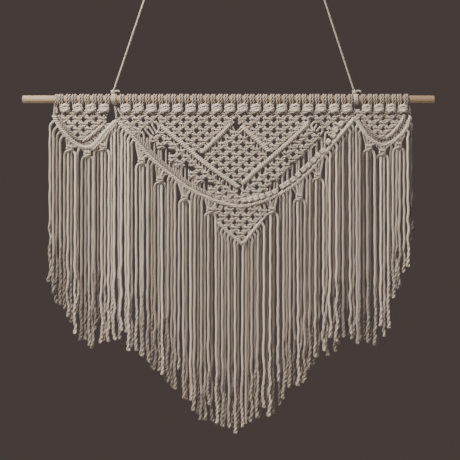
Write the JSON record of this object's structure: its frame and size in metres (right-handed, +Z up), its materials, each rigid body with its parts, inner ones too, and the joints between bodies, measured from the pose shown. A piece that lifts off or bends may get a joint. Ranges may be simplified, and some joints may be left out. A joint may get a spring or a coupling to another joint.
{
  "type": "macrame wall hanging on a wooden dowel",
  "caption": "Off-white cotton macrame hanging with a deep middle swag between small side swags, knotted nets and a long fringe, on a thin wooden dowel.",
  "frame": {"origin": "the hanging point, midway between the tops of the two hanger loops, in the plane of the dowel's axis", "axes": "+X along the dowel to the right as the front is seen, +Y from the front to the wall, +Z up"},
  "size_m": [0.659, 0.018, 0.7425],
  "materials": {
    "cotton_cord": "matte twisted cotton",
    "thin_cotton_cord": "matte twisted cotton",
    "pale_wood": "bare sanded wood"
  },
  "bodies": {
    "root": {"dowel": "pale_wood", "hanger_knot_left": "thin_cotton_cord", "hanger_knot_right": "thin_cotton_cord", "hanger_cord_left": "thin_cotton_cord", "hanger_cord_right": "thin_cotton_cord", "hanger_loop_left": "thin_cotton_cord", "hanger_loop_right": "thin_cotton_cord", "panel_left": "cotton_cord", "panel_main": "cotton_cord", "panel_right": "cotton_cord", "panel_point": "cotton_cord", "fringe_left": "cotton_cord", "fringe_main": "cotton_cord", "fringe_right": "cotton_cord", "fringe_point": "cotton_cord"}
  },
  "joints": []
}
